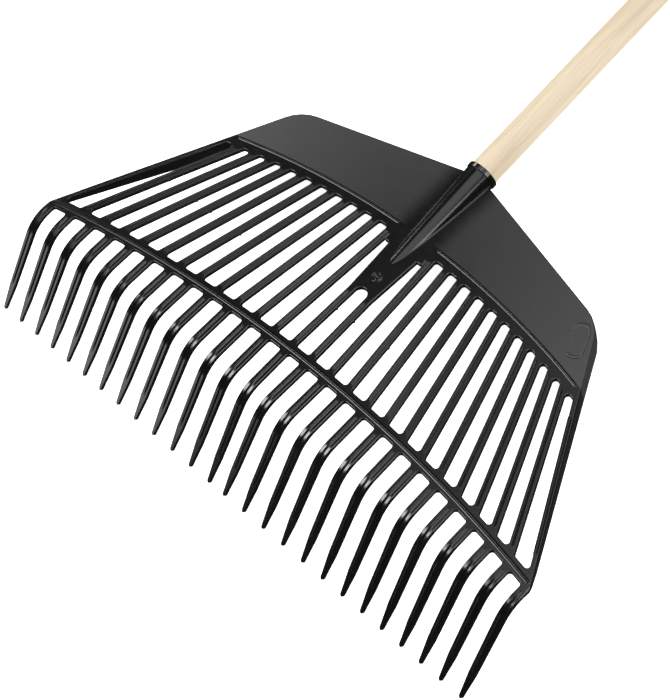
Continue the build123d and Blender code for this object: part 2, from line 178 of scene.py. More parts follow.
# ---------------------------------------------------------------- building meshes
class Shell:
    """A mesh being built in the head's frame, with the normals that it is shaded by."""

    def __init__(self):
        self.points, self.normals, self.faces = [], [], []

    def point(self, place, normal):
        self.points.append(Vector(place))
        self.normals.append(Vector(normal))
        return len(self.points) - 1

    def band(self, ring, following):
        """Quads between two closed rings."""
        for k in range(len(ring)):
            j = (k + 1) % len(ring)
            self.faces.append((ring[k], ring[j], following[j], following[k]))

    def piece(self, name, slot, *nodes):
        """Turn the shell into an object that stands for the given CAD nodes."""
        mesh = bpy.data.meshes.new(name)
        mesh.from_pydata([HEAD @ p for p in self.points], [], self.faces)
        mesh.polygons.foreach_set("use_smooth", [True] * len(mesh.polygons))
        mesh.normals_split_custom_set_from_vertices([(TURN @ n).normalized() for n in self.normals])
        mesh.update()
        thing = bpy.data.objects.new(name, mesh)
        bpy.context.scene.collection.objects.link(thing)
        thing.data.materials.append(MATERIALS[slot])
        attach(thing, "root")
        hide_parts(*nodes)
        return thing


def sweep(shell, stations, sections):
    """Skin closed sections, each (across, up, and its normal) at its own station."""
    rings = []
    last = len(stations) - 1
    for i, (place, along, up) in enumerate(stations):
        across = up.cross(along)
        before, after = max(i - 1, 0), min(i + 1, last)
        run = (stations[after][0] - stations[before][0]).length
        ring = []
        for j, (u, w, nu, nw) in enumerate(sections[i]):
            slope_u = (sections[after][j][0] - sections[before][j][0]) / run
            slope_w = (sections[after][j][1] - sections[before][j][1]) / run
            normal = across * nu + up * nw - along * (nu * slope_u + nw * slope_w)
            ring.append(shell.point(place + across * u + up * w, normal))
        rings.append(ring)
    for ring, following in zip(rings, rings[1:]):
        shell.band(ring, following)
    shell.faces.append(tuple(reversed(rings[0])))
    shell.faces.append(tuple(rings[-1]))


def quarter(centre_u, centre_w, radius, start, steps):
    """Points and normals round a quarter circle that starts at an angle."""
    out = []
    for k in range(steps + 1):
        a = start + pi / 2 * k / steps
        out.append((centre_u + radius * cos(a), centre_w + radius * sin(a), cos(a), sin(a)))
    return out


def bar_section(width, depth):
    """Section of a tine: flat top at 0 with rounded edges, and a bottom at -depth."""
    half = width / 2
    widest = min(half * 0.9, depth * 0.45)
    edge, lower = min(EDGE_R, widest), min(LOWER_EDGE_R, widest)
    return (
        quarter(half - lower, lower - depth, lower, -pi / 2, 2)
        + quarter(half - edge, -edge, edge, 0, 4)
        + quarter(edge - half, -edge, edge, pi / 2, 4)
        + quarter(lower - half, lower - depth, lower, pi, 2)
    )


def round_ring(shell, centre, row, count, way=1):
    """Ring about an upright axis, from a (radius, height, outward, upward) row."""
    radius, height, outward, upward = row
    ring = []
    for k in range(count):
        a = way * 2 * pi * k / count
        place = (centre[0] + radius * cos(a), centre[1] + radius * sin(a), height)
        ring.append(shell.point(place, (outward * cos(a), outward * sin(a), upward)))
    return ring


def ridge_section(half, height, sink=0.5, steps=7):
    """Section of a raised ridge: hollow flanks up to a rounded crest, its foot sunk in."""
    crest = 0.2
    flank = [1 - (1 - crest) * (k / steps) ** 0.8 for k in range(steps)]
    shares = flank + [crest * (1 - k / 3) for k in range(3)]
    shares += [0.0] + [-share for share in reversed(shares)]
    out = [(half, -sink, 1, 0)]
    for share in shares:
        t = abs(share)
        if t > crest:
            rise, slope = (1 - t) ** 2, 2 * (1 - t)
        else:
            slope = 2 * (1 - crest) * t / crest
            rise = (1 - crest) ** 2 + (1 - crest) * crest - slope * t / 2
        lean = height / half * slope * (1 if share > 0 else -1)
        out.append((half * share, height * rise / (1 - crest), lean / (1 - crest), 1))
    return out + [(-half, -sink, -1, 0)]


def ridge(shell, stations, lengths, half, height, ramp_in=1.2, ramp_out=1.2):
    """Raised ridge along a path, sloping down to the face at both ends."""
    sections = []
    for at in lengths:
        rise_in = (at - lengths[0]) / ramp_in
        rise_out = (lengths[-1] - at) / ramp_out
        share = max(0.02, min(1.0, rise_in, rise_out))
        share = share * share * (3 - 2 * share)
        sections.append(ridge_section(half * (0.4 + 0.6 * share), height * share))
    sweep(shell, stations, sections)


def spread(start, end, step):
    """Evenly spaced values from start to end, no further apart than the step."""
    count = max(1, ceil(abs(end - start) / step))
    return [start + (end - start) * k / count for k in range(count + 1)]


def ridge_lengths(start, end, ramp_in, ramp_out, step):
    """Distances along a ridge, close together where it rises and runs out."""
    rise = spread(start, start + ramp_in, ramp_in / 4)
    level = spread(start + ramp_in, end - ramp_out, step)
    fall = spread(end - ramp_out, end, ramp_out / 4)
    return rise + level[1:] + fall[1:]


# ---------------------------------------------------------------- plan of the head
Corner = namedtuple("Corner", "x y round edge depth cap", defaults=(0.0, EDGE_R, SLAT_T, ""))
Rim = namedtuple("Rim", "x y nx ny edge depth")


def arc_y(x, arc):
    top_y, radius = arc
    return top_y - radius + sqrt(radius**2 - x**2)


def side_x(y):
    """Half width of the head along its straight side edge."""
    share = (y - SIDE_FOOT[1]) / (CORNER[1] - SIDE_FOOT[1])
    return SIDE_FOOT[0] - (SIDE_FOOT[0] - CORNER[0]) * share


def middle(index):
    """Signed count of pitches from the centre line."""
    return index - (TINES - 1) / 2


def slat_line(index):
    """Foot and direction of a slat's centre line."""
    foot_x = middle(index) * TINE_PITCH
    top_x = middle(index) * SLAT_PITCH
    foot = Vector((foot_x, arc_y(foot_x, BAR_FRONT), 0))
    top = Vector((top_x, arc_y(top_x, SLAT_TOPS), 0))
    return foot, (top - foot).normalized()


def member_edge(index, side):
    """A point on one edge of a slat or side rail, and the direction of that edge."""
    if index in (0, TINES - 1):
        foot = Vector((-side * (side_x(0) - RAIL_WIDTH), 0, 0))
        top = Vector((-side * (side_x(100) - RAIL_WIDTH), 100, 0))
        return foot, (top - foot).normalized()
    foot, along = slat_line(index)
    return foot + Vector((along.y, -along.x, 0)) * (side * SLAT_WIDTH / 2), along


def crossing(line, arc):
    """Where a line that runs up the head meets an arc across it."""
    place, along = line
    reach = 0.0
    for _ in range(6):
        reach = (arc_y(place.x + along.x * reach, arc) - place.y) / along.y
    return place + along * reach


def at_height(line, y):
    place, along = line
    return place + along * ((y - place.y) / along.y)


def tine_swing(index):
    """Slope of a tine's centre line away from straight ahead, seen from above."""
    x = middle(index) * TINE_PITCH
    drift = TINE_DRIFT * sin(pi * (abs(x) - DRIFT_START_X) / DRIFT_HALF_WAVE)
    return (drift if x > 0 else -drift) / (arc_y(x, BAR_FRONT) - TIP_Y)


def tine_edge(index, side):
    x = middle(index) * TINE_PITCH
    along = Vector((-tine_swing(index), 1, 0)).normalized()
    across = Vector((along.y, -along.x, 0))
    return Vector((x, arc_y(x, BAR_FRONT), 0)) + across * (side * TINE_WIDTH / 2), along


def slat_ends(index):
    """Both ends of the centre line of a slat's own piece, clear of the bar and the shoulder."""
    line = slat_line(index)
    foot = crossing(line, BAR_BACK)
    is_leg = index in (TINES // 2 - 1, TINES // 2)
    top = at_height(line, TONGUE_FOOT_Y) if is_leg else crossing(line, SLAT_TOPS)
    return foot + line[1] * SLAT_STUB, top - line[1] * SLAT_STUB


def stub(index, place, from_side):
    """Flat end of the stub that a slat's piece meets, entered from one of its sides."""
    along = slat_line(index)[1]
    reach = Vector((along.y, -along.x, 0)) * (from_side * SLAT_WIDTH / 2)
    ends = (place + reach, place - reach)
    return [Corner(p.x, p.y, cap=way) for p, way in zip(ends, ("in", "out"))]


def slot_top(index):
    """Corners of the upper end of a slot, from left to right."""
    left, right = member_edge(index, 1), member_edge(index + 1, -1)
    mid = TINES // 2 - 1
    if index == mid:
        end_y = TONGUE_FOOT_Y + CENTRE_SLOT_END_R
        tops = [at_height(left, end_y), at_height(right, end_y)]
        rounds = (CENTRE_SLOT_END_R, CENTRE_SLOT_END_R)
    elif abs(index - mid) != 1:
        tops = [crossing(left, SLAT_TOPS), crossing(right, SLAT_TOPS)]
        rounds = (SLOT_R, SLOT_R)
    else:
        side = 1 if index > mid else -1
        tip = Vector((side * TONGUE_TIP[0], TONGUE_TIP[1], 0))
        leg, other = (left, right) if side > 0 else (right, left)
        tops = [at_height(leg, TONGUE_FOOT_Y), tip, at_height(other, TONGUE_TIP[1])]
        rounds = (TONGUE_FOOT_R, TONGUE_TIP_R, TONGUE_SLOT_R)
        if side < 0:
            tops.reverse()
            rounds = rounds[::-1]
    return [Corner(p.x, p.y, r) for p, r in zip(tops, rounds)]


def opening_corners():
    """Corners of the opening that the slats cross, clockwise, with a stub for each slat end."""
    out = []
    for index in range(TINES - 2, -1, -1):
        for line in (member_edge(index + 1, -1), member_edge(index, 1)):
            foot = crossing(line, BAR_BACK)
            out.append(Corner(foot.x, foot.y, SLOT_R))
        if index:
            out += stub(index, slat_ends(index)[0], 1)
    for index in range(TINES - 1):
        out += slot_top(index)
        if index < TINES - 2:
            out += stub(index + 1, slat_ends(index + 1)[1], -1)
    return out


def outer_corners():
    """Corners of the outside of the head, anticlockwise, with a stub for each tine."""
    out = []
    for index in range(TINES):
        left, right = tine_edge(index, -1), tine_edge(index, 1)
        stub_y = arc_y(middle(index) * TINE_PITCH, BAR_FRONT) - TINE_STUB
        if index:
            foot = crossing(left, BAR_FRONT)
            out.append(Corner(foot.x, foot.y, GAP_R, EDGE_R, TINE_T))
        swing = tine_swing(index) * TINE_WIDTH / 2
        start = at_height(left, stub_y - swing)
        end = at_height(right, stub_y + swing)
        out.append(Corner(start.x, start.y, 0, EDGE_R, TINE_T, "in"))
        out.append(Corner(end.x, end.y, 0, EDGE_R, TINE_T, "out"))
        if index < TINES - 1:
            foot = crossing(right, BAR_FRONT)
            out.append(Corner(foot.x, foot.y, GAP_R, EDGE_R, TINE_T))
    out.append(Corner(*SIDE_FOOT, SIDE_FOOT_R, FOOT_EDGE_R))
    out.append(Corner(*CORNER, CORNER_R, PLATE_EDGE_R, PLATE_T))
    out.append(Corner(0, APEX_Y, APEX_R, PLATE_EDGE_R, PLATE_T))
    out.append(Corner(-CORNER[0], CORNER[1], CORNER_R, PLATE_EDGE_R, PLATE_T))
    out.append(Corner(-SIDE_FOOT[0], SIDE_FOOT[1], SIDE_FOOT_R, FOOT_EDGE_R))
    return out


def rounded(corners, step=radians(12)):
    """Closed outline with its corners rounded; the material lies to the left of it."""
    out = []
    for k, c in enumerate(corners):
        before, after = corners[k - 1], corners[(k + 1) % len(corners)]
        come = Vector((c.x - before.x, c.y - before.y)).normalized()
        go = Vector((after.x - c.x, after.y - c.y)).normalized()
        if c.cap:
            way = come if c.cap == "in" else go
            out.append(Rim(c.x, c.y, way.y, -way.x, c.edge, c.depth))
            continue
        turn = come.angle_signed(go) * -1
        cut = c.round * tan(abs(turn) / 2)
        side = 1 if turn > 0 else -1
        start = Vector((c.x, c.y)) - come * cut
        centre = start + Vector((-come.y, come.x)) * (side * c.round)
        count = max(1, ceil(abs(turn) / step))
        for j in range(count + 1):
            way = Matrix.Rotation(turn * j / count, 2) @ come
            right = Vector((way.y, -way.x))
            place = centre + right * (side * c.round)
            out.append(Rim(place.x, place.y, right.x, right.y, c.edge, c.depth))
    return out


def edge_profile(edge, depth):
    """Rounded upper edge, wall and rounded lower edge: (inset, height, outward, upward)."""
    out = []
    for u, w, nu, nw in reversed(quarter(0, 0, 1, 0, 4)):
        out.append((edge * (1 - u), edge * (w - 1), nu, nw))
    for u, w, nu, nw in reversed(quarter(0, 0, 1, -pi / 2, 2)):
        out.append((LOWER_EDGE_R * (1 - u), LOWER_EDGE_R * (w + 1) - depth, nu, nw))
    return out


def wall(shell, outline):
    """Wall round one outline; gives the ring of its top face and that of its bottom face."""
    profiles = [edge_profile(p.edge, p.depth) for p in outline]
    rings = []
    for level in range(len(profiles[0])):
        ring = []
        for p, profile in zip(outline, profiles):
            inset, height, outward, upward = profile[level]
            place = (p.x - p.nx * inset, p.y - p.ny * inset, height)
            ring.append(shell.point(place, (p.nx * outward, p.ny * outward, upward)))
        rings.append(ring)
    for ring, following in zip(rings, rings[1:]):
        shell.band(following, ring)
    return rings[0], rings[-1]


def fill(shell, rings, downward=False):
    """Flat face between an outer ring and the rings of its holes."""
    flat, bounds, owner = [], [], []
    for ring in rings:
        bounds.append(list(range(len(flat), len(flat) + len(ring))))
        flat += [shell.points[index].to_2d() for index in ring]
        owner += ring
    found = delaunay_2d_cdt(flat, [], bounds, 2, 1e-5)
    for face in found[2]:
        corners = [owner[found[3][v][0]] for v in face]
        shell.faces.append(tuple(reversed(corners)) if downward else tuple(corners))


# ---------------------------------------------------------------- materials
def tree(name):
    """A new material with its shader, and short ways to add and join nodes."""
    material = bpy.data.materials.new(name)
    material.use_nodes = True
    nodes, links = material.node_tree.nodes, material.node_tree.links
    shader = nodes["Principled BSDF"]

    def add(kind, **values):
        node = nodes.new("ShaderNode" + kind)
        for key, value in values.items():
            if hasattr(node, key):
                setattr(node, key, value)
            else:
                node.inputs[key.replace("_", " ")].default_value = value
        return node

    return material, shader, add, links.new


def ramp(add, *stops):
    """Colour ramp with the given (position, colour) stops."""
    node = add("ValToRGB")
    while len(node.color_ramp.elements) < len(stops):
        node.color_ramp.elements.new(0.5)
    for element, (at, colour) in zip(node.color_ramp.elements, stops):
        element.position = at
        element.color = (*colour, 1)
    return node


def plastic():
    """Black moulded plastic: grained on the shoulder, smooth in front and beside the socket, with a
    painted sheen that lightens the shoulder towards its outer edges.
    """
    material, shader, add, link = tree("head_plastic")
    place = add("TexCoord").outputs["Object"]
    centre = HEAD @ Vector((0, BEAD[0] - BEAD[1], 0))
    reach = add("VectorMath", operation="DISTANCE")
    link(place, reach.inputs[0])
    reach.inputs[1].default_value = centre
    edge = BEAD[1] / 1000 + 0.0014
    behind = add("MapRange", From_Min=edge, From_Max=edge + 0.0006)
    link(reach.outputs["Value"], behind.inputs["Value"])
    split = add("SeparateXYZ")
    link(place, split.inputs["Vector"])
    width = add("Math", operation="ABSOLUTE")
    link(split.outputs["X"], width.inputs[0])
    beside = add("MapRange", interpolation_type="SMOOTHSTEP", From_Min=0.012, From_Max=0.036)
    link(width.outputs["Value"], beside.inputs["Value"])
    shoulder = add("Math", operation="MULTIPLY")
    link(behind.outputs["Result"], shoulder.inputs[0])
    link(beside.outputs["Result"], shoulder.inputs[1])
    grain = add("TexNoise", Scale=1500.0, Detail=3.0, Roughness=0.6)
    flow = add("TexNoise", Scale=14.0, Detail=4.0, Roughness=0.55)
    haze = add("TexNoise", Scale=140.0, Detail=5.0, Roughness=0.7)
    for texture in (grain, flow, haze):
        link(place, texture.inputs["Vector"])
    tint = ramp(add, (0.3, (0.0028, 0.003, 0.0032)), (0.7, (0.0048, 0.005, 0.0052)))
    link(flow.outputs["Fac"], tint.inputs["Fac"])
    # painted sheen: the grained shoulder's base colour is lightened towards its outer edges and
    # corners, standing in for the light it reflects there
    heart = add("VectorMath", operation="DISTANCE")
    link(place, heart.inputs[0])
    heart.inputs[1].default_value = HEAD @ Vector((0, 150, 0))
    outer = add("MapRange", From_Min=0.06, From_Max=0.235)
    link(heart.outputs["Value"], outer.inputs["Value"])
    pale = add("Math", operation="MULTIPLY")
    link(outer.outputs["Result"], pale.inputs[0])
    link(shoulder.outputs["Value"], pale.inputs[1])
    painted_sheen = add("Mix", data_type="RGBA")
    link(pale.outputs["Value"], painted_sheen.inputs[0])
    link(tint.outputs["Color"], painted_sheen.inputs[6])
    painted_sheen.inputs[7].default_value = (0.034, 0.035, 0.0365, 1)
    link(painted_sheen.outputs[2], shader.inputs["Base Color"])
    shine = add("MapRange", From_Min=0.25, From_Max=0.75, To_Min=0.13, To_Max=0.2)
    link(haze.outputs["Fac"], shine.inputs["Value"])
    grained = add("MapRange", To_Min=0.0, To_Max=0.24)
    link(shoulder.outputs["Value"], grained.inputs["Value"])
    rough = add("Math", operation="ADD")
    link(shine.outputs["Result"], rough.inputs[0])
    link(grained.outputs["Result"], rough.inputs[1])
    link(rough.outputs["Value"], shader.inputs["Roughness"])
    depth = add("MapRange", To_Min=0.05, To_Max=0.35)
    link(shoulder.outputs["Value"], depth.inputs["Value"])
    bump = add("Bump", Distance=0.0001)
    link(grain.outputs["Fac"], bump.inputs["Height"])
    link(depth.outputs["Result"], bump.inputs["Strength"])
    link(bump.outputs["Normal"], shader.inputs["Normal"])
    return material


def wood():
    """Pale sanded wood, with its grain along the handle."""
    material, shader, add, link = tree("handle_wood")
    place = add("TexCoord").outputs["Object"]
    stretch = add("Mapping", Scale=(1.0, 0.045, 1.0))
    link(place, stretch.inputs["Vector"])
    grain = add("TexNoise", Scale=170.0, Detail=6.0, Roughness=0.62, Distortion=0.5)
    pores = add("TexNoise", Scale=900.0, Detail=3.0, Roughness=0.7)
    cloud = add("TexNoise", Scale=9.0, Detail=3.0)
    for texture, source in ((grain, stretch.outputs[0]), (pores, stretch.outputs[0]), (cloud, place)):
        link(source, texture.inputs["Vector"])
    bands = ramp(
        add,
        (0.32, (0.60, 0.485, 0.34)),
        (0.5, (0.68, 0.57, 0.41)),
        (0.68, (0.73, 0.62, 0.465)),
    )
    link(grain.outputs["Fac"], bands.inputs["Fac"])
    shade = ramp(add, (0.35, (0.93, 0.91, 0.88)), (0.65, (1.0, 1.0, 1.0)))
    link(cloud.outputs["Fac"], shade.inputs["Fac"])
    tinted = add("Mix", data_type="RGBA", blend_type="MULTIPLY")
    tinted.inputs[0].default_value = 1.0
    link(bands.outputs["Color"], tinted.inputs[6])
    link(shade.outputs["Color"], tinted.inputs[7])
    speck = ramp(add, (0.36, (0.86, 0.82, 0.76)), (0.44, (1.0, 1.0, 1.0)))
    link(pores.outputs["Fac"], speck.inputs["Fac"])
    pored = add("Mix", data_type="RGBA", blend_type="MULTIPLY")
    pored.inputs[0].default_value = 0.5
    link(tinted.outputs[2], pored.inputs[6])
    link(speck.outputs["Color"], pored.inputs[7])
    link(pored.outputs[2], shader.inputs["Base Color"])
    shine = add("MapRange", To_Min=0.5, To_Max=0.66)
    link(grain.outputs["Fac"], shine.inputs["Value"])
    link(shine.outputs["Result"], shader.inputs["Roughness"])
    bump = add("Bump", Strength=0.25, Distance=0.0002)
    link(pores.outputs["Fac"], bump.inputs["Height"])
    link(bump.outputs["Normal"], shader.inputs["Normal"])
    return material


def steel():
    """Zinc-plated steel, faintly mottled."""
    material, shader, add, link = tree("screw_steel")
    shader.inputs["Metallic"].default_value = 1.0
    place = add("TexCoord").outputs["Object"]
    mottle = add("TexNoise", Scale=900.0, Detail=4.0, Roughness=0.6)
    link(place, mottle.inputs["Vector"])
    tint = ramp(add, (0.35, (0.42, 0.43, 0.45)), (0.65, (0.62, 0.62, 0.63)))
    link(mottle.outputs["Fac"], tint.inputs["Fac"])
    link(tint.outputs["Color"], shader.inputs["Base Color"])
    shine = add("MapRange", To_Min=0.28, To_Max=0.5)
    link(mottle.outputs["Fac"], shine.inputs["Value"])
    link(shine.outputs["Result"], shader.inputs["Roughness"])
    bump = add("Bump", Strength=0.2, Distance=0.00005)
    link(mottle.outputs["Fac"], bump.inputs["Height"])
    link(bump.outputs["Normal"], shader.inputs["Normal"])
    return material


MATERIALS = {"head_plastic": plastic(), "handle_wood": wood(), "screw_steel": steel()}


# ---------------------------------------------------------------- shoulder, bar and rails
def closer(outline, step=15.0):
    """The same run of an outline, with more stations along its straight parts."""
    out = [outline[0]]
    for before, after in zip(outline, outline[1:]):
        count = max(1, ceil(sqrt((after.x - before.x) ** 2 + (after.y - before.y) ** 2) / step))
        for k in range(1, count + 1):
            out.append(Rim(*(a + (b - a) * k / count for a, b in zip(before, after))))
    return out


def rim(shell, outline):
    """Wall turned down round the shoulder, along a run of the outline."""
    rings = []
    for p in closer(outline):
        depth = rim_depth(p.y)
        top = LOWER_EDGE_R - p.depth
        section = [(0, top, 1, 0), (0, RIM_OUTER_R - depth, 1, 0)]
        for u, w, nu, nw in reversed(quarter(0, 0, RIM_OUTER_R, -pi / 2, 3)[:-1]):
            section.append((RIM_OUTER_R - u, RIM_OUTER_R + w - depth, nu, nw))
        for u, w, nu, nw in reversed(quarter(0, 0, RIM_INNER_R, pi, 3)):
            section.append((RIM_T - RIM_INNER_R - u, RIM_INNER_R + w - depth, nu, nw))
        section.append((RIM_T, top + 0.2, -1, 0))
        ring = []
        for inset, height, outward, upward in section:
            place = (p.x - p.nx * inset, p.y - p.ny * inset, height)
            ring.append(shell.point(place, (p.nx * outward, p.ny * outward, upward)))
        rings.append(ring)
    for ring, following in zip(rings, rings[1:]):
        shell.band(ring, following)
    shell.faces.append(tuple(reversed(rings[0])))
    shell.faces.append(tuple(rings[-1]))


def rim_depth(y):
    """Depth of the rim's lower edge: it deepens up the sides and runs level along the back."""
    side = Vector((CORNER[0] - SIDE_FOOT[0], CORNER[1] - SIDE_FOOT[1])).normalized()
    back = Vector((-CORNER[0], APEX_Y - CORNER[1])).normalized()
    cut = CORNER_R * tan((atan2(back.y, back.x) - atan2(side.y, side.x)) / 2)
    start_y = CORNER[1] - cut * side.y
    end_y = CORNER[1] + cut * back.y
    if y <= start_y:
        share = (y - SIDE_FOOT[1]) / (start_y - SIDE_FOOT[1])
        run_out = max(0.0, 1 - (y - SIDE_FOOT[1]) / RIM_RUN_OUT) ** 2
        deep = RIM_DEPTH_AT_BAR + (RIM_DEPTH_CORNER - RIM_DEPTH_AT_BAR) * max(0.0, share)
        return deep + (TINE_T - RIM_LEAD_IN - deep) * min(1.0, run_out)
    share = min(1.0, (y - start_y) / (end_y - start_y))
    return RIM_DEPTH_CORNER + (RIM_DEPTH_BACK - RIM_DEPTH_CORNER) * share


def arc_path(arc, xs):
    """Stations along an arc across the head."""
    out = []
    for x in xs:
        slope = -x / sqrt(arc[1] ** 2 - x**2)
        out.append((Vector((x, arc_y(x, arc), 0)), Vector((1, slope, 0)).normalized(), UP))
    return out


def arc_ridge(shell, arc, start, end, half, height, ramp_in=1.2, ramp_out=1.2):
    lengths = ridge_lengths(start, end, ramp_in, ramp_out, 9.0)
    ridge(shell, arc_path(arc, lengths), lengths, half, height, ramp_in, ramp_out)


def line_path(foot, along, lengths):
    return [(foot + along * at, along, UP) for at in lengths]


head = Shell()
outline = rounded(outer_corners())
opening = rounded(opening_corners())
outer_top, outer_bottom = wall(head, outline)
inner_top, inner_bottom = wall(head, opening)

gate_rows = (
    (GATE_R + 1.0, 0, 0, 1),
    (GATE_R + 0.8, 0.1, 0.5, 1),
    (GATE_R + 0.5, 0.4, 0.7, 0.7),
    (GATE_R, 0.5, 0, 1),
    (GATE_R - 0.5, 0.1, -0.9, 0.4),
    (GATE_R - 0.8, -GATE_DEPTH, -0.5, 0.8),
    (2.6, -GATE_DEPTH, 0.4, 0.9),
    (2.3, 0.2, 0.95, 0.3),
    (1.8, 0.75, 0.7, 0.7),
    (1.0, 1.05, 0.3, 0.95),
    (0.3, 1.12, 0.05, 1),
)
gate = [round_ring(head, (0, GATE_Y), row, 36, -1) for row in gate_rows]
for ring, following in zip(gate, gate[1:]):
    head.band(following, ring)
head.faces.append(tuple(reversed(gate[-1])))
fill(head, [outer_top, inner_top, gate[0]])
fill(head, [outer_bottom, inner_bottom], downward=True)

# the rim follows the outline from each foot to the socket
feet = [k for k, p in enumerate(outline) if p.edge == FOOT_EDGE_R]
right_feet = [k for k in feet if outline[k].x > 0]
left_feet = [k for k in feet if outline[k].x < 0]
apex = [k for k, p in enumerate(outline) if p.y > APEX_Y - APEX_BAND]
rim(head, outline[right_feet[1]:apex[0] + 1])
rim(head, outline[apex[-1]:left_feet[-1]])

rib_end = SIDE_FOOT[0] - BAR_RIB_CLEAR
arc_ridge(head, BAR_RIB, -rib_end, rib_end, *BAR_RIB_SIZE, 2.5, 2.5)
bead_start, bead_end = BEAD_RUN
arc_ridge(head, BEAD, -bead_end, -bead_start, *BEAD_SIZE)
arc_ridge(head, BEAD, bead_start, bead_end, *BEAD_SIZE)

# rails carry two low ridges that follow the side edge
rail_top_y = arc_y(side_x(165), SLAT_TOPS) - RAIL_RIDGE_CLEAR
for side in (-1, 1):
    rail_foot = Vector((side * SIDE_FOOT[0], SIDE_FOOT[1], 0))
    rail_top = Vector((side * side_x(rail_top_y), rail_top_y, 0))
    along = (rail_top - rail_foot).normalized()
    inward = Vector((-side * along.y, side * along.x, 0))
    lengths = ridge_lengths(RAIL_RIDGE_START, (rail_top - rail_foot).length, 1.5, 1.5, 12.0)
    for inset, half, height in RAIL_RIDGES:
        ridge(head, line_path(rail_foot + inward * inset, along, lengths), lengths, half, height)

# blank pad near the right corner
pad_rings = []
pad_centre, pad_turn = PAD
for scale, height, outward, upward in (
    (1.0, -0.3, 1, 0),
    (1.0, 0.25, 0.9, 0.3),
    (0.97, 0.45, 0.4, 0.9),
    (0.9, 0.45, 0, 1),
    (0.87, 0.3, -0.5, 0.8),
    (0.8, 0.22, 0, 1),
):
    ring = []
    for k in range(48):
        a = 2 * pi * k / 48
        squarish = [abs(v) ** 0.6 * (1 if v > 0 else -1) for v in (cos(a), sin(a))]
        spot = Vector((PAD_HALF[0] * squarish[0], PAD_HALF[1] * squarish[1])) * scale
        face = Vector((cos(a) ** 3 * PAD_HALF[1], sin(a) ** 3 * PAD_HALF[0])).normalized()
        placed = Matrix.Rotation(pad_turn, 2) @ spot
        faced = Matrix.Rotation(pad_turn, 2) @ face
        place = (pad_centre[0] + placed.x, pad_centre[1] + placed.y, height)
        ring.append(head.point(place, (faced.x * outward, faced.y * outward, upward)))
    pad_rings.append(ring)
for ring, following in zip(pad_rings, pad_rings[1:]):
    head.band(ring, following)
head.faces.append(tuple(pad_rings[-1]))
head.faces.append(tuple(reversed(pad_rings[0])))

head.piece(
    "head_moulding",
    "head_plastic",
    "shoulder_left",
    "shoulder_right",
    "centre_tongue",
    "cross_bar",
    "side_rail_left",
    "side_rail_right",
)

# ---------------------------------------------------------------- slats
def nub(shell, place):
    """Small ejector mark that stands out from the edge of a slat."""
    rows = (
        (1.1, -SLAT_T + 0.6, 1, -0.4),
        (1.3, -SLAT_T + 1.2, 1, 0),
        (1.3, -1.1, 1, 0.1),
        (1.0, -0.6, 0.6, 0.8),
        (0.4, -0.4, 0.1, 1),
    )
    rings = [round_ring(shell, place, row, 16) for row in rows]
    for ring, following in zip(rings, rings[1:]):
        shell.band(ring, following)
    shell.faces.append(tuple(reversed(rings[0])))
    shell.faces.append(tuple(rings[-1]))


for index in range(1, TINES - 1):
    foot, top = slat_ends(index)
    along = (top - foot).normalized()
    slat = Shell()
    lengths = spread(0, (top - foot).length, 20.0)
    sections = [bar_section(SLAT_WIDTH, SLAT_T)] * len(lengths)
    sweep(slat, line_path(foot, along, lengths), sections)
    gap = RIDGE_GAP - SLAT_STUB
    lengths = ridge_lengths(gap, (top - foot).length - gap, RIDGE_RAMP, RIDGE_RAMP, 20.0)
    path = line_path(foot, along, lengths)
    ridge(slat, path, lengths, RIDGE_HALF_WIDTH, RIDGE_HEIGHT, RIDGE_RAMP, RIDGE_RAMP)
    if index in NUB_SLATS:
        nub(slat, at_height(member_edge(index, 1), NUB_Y))
    slat.piece(f"slat_body_{index + 1:02d}", "head_plastic", f"slat_{index + 1:02d}")

# ---------------------------------------------------------------- tines
bend_corner_y = TIP_Y - TIP_Z / tan(BEND)
tangent_length = BEND_R * tan(BEND / 2)
flat_end_y = bend_corner_y + tangent_length
blade_start = Vector((0, bend_corner_y - tangent_length * cos(BEND), -tangent_length * sin(BEND)))
blade_length = (Vector((0, TIP_Y, TIP_Z)) - blade_start).length


def tine_station(index, start_y, at):
    """Place, direction and upward normal at a distance along a tine's top face."""
    flat = start_y - flat_end_y
    if at <= flat:
        turn, y, z = 0.0, start_y - at, 0.0
    elif at < flat + BEND_R * BEND:
        turn = (at - flat) / BEND_R
        y = flat_end_y - BEND_R * sin(turn)
        z = BEND_R * (cos(turn) - 1)
    else:
        turn = BEND
        run = at - flat - BEND_R * BEND
        y = blade_start.y - run * cos(BEND)
        z = blade_start.z - run * sin(BEND)
    root_x = middle(index) * TINE_PITCH
    swing = tine_swing(index)
    place = Vector((root_x + swing * (arc_y(root_x, BAR_FRONT) - y), y, z))
    forward = Vector((swing, -1, 0)).normalized()
    along = forward * cos(turn) - UP * sin(turn)
    up = forward * sin(turn) + UP * cos(turn)
    return place, along, up


def tine_section(from_tip):
    """Section of a tine at a distance from its tip, measured along the blade."""
    if from_tip >= blade_length:
        return bar_section(TINE_WIDTH, TINE_T)
    if from_tip >= POINT_LENGTH:
        share = (from_tip - POINT_LENGTH) / (blade_length - POINT_LENGTH)
        half = (TINE_BLADE_WIDTH + (TINE_WIDTH - TINE_BLADE_WIDTH) * share) / 2
    elif from_tip >= TINE_POINT_R:
        share = (from_tip - TINE_POINT_R) / (POINT_LENGTH - TINE_POINT_R)
        half = TINE_POINT_R + (TINE_BLADE_WIDTH / 2 - TINE_POINT_R) * share
    else:
        half = sqrt(TINE_POINT_R**2 - (TINE_POINT_R - from_tip) ** 2)
    depth = TINE_POINT_T + (TINE_T - TINE_POINT_T) * from_tip / blade_length
    return bar_section(2 * half, depth)


